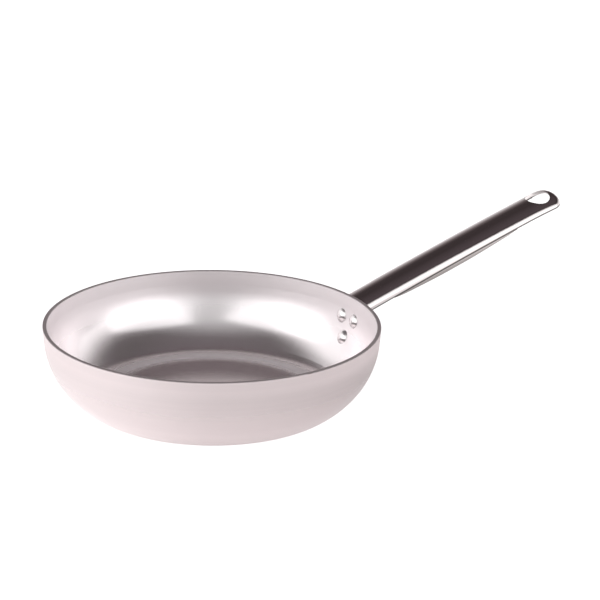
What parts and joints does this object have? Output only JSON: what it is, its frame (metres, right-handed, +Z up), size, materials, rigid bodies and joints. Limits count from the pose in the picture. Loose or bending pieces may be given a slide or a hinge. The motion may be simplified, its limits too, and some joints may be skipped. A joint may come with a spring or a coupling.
{
  "type": "omelette pan",
  "caption": "Round frying pan with a flat base, deep rounded sides and a long rising riveted handle with a hanging hole.",
  "frame": {"origin": "middle of the pan's flat underside", "axes": "+Z up out of the pan, +X along the handle towards its far end"},
  "size_m": [0.4213, 0.24, 0.1144],
  "materials": {
    "spun_aluminium": "satin",
    "handle_steel": "polished",
    "rivet_metal": "polished"
  },
  "bodies": {
    "root": {"pan_body": "spun_aluminium", "handle": "handle_steel", "rivet_upper_left": "rivet_metal", "rivet_upper_right": "rivet_metal", "rivet_lower": "rivet_metal"}
  },
  "joints": []
}
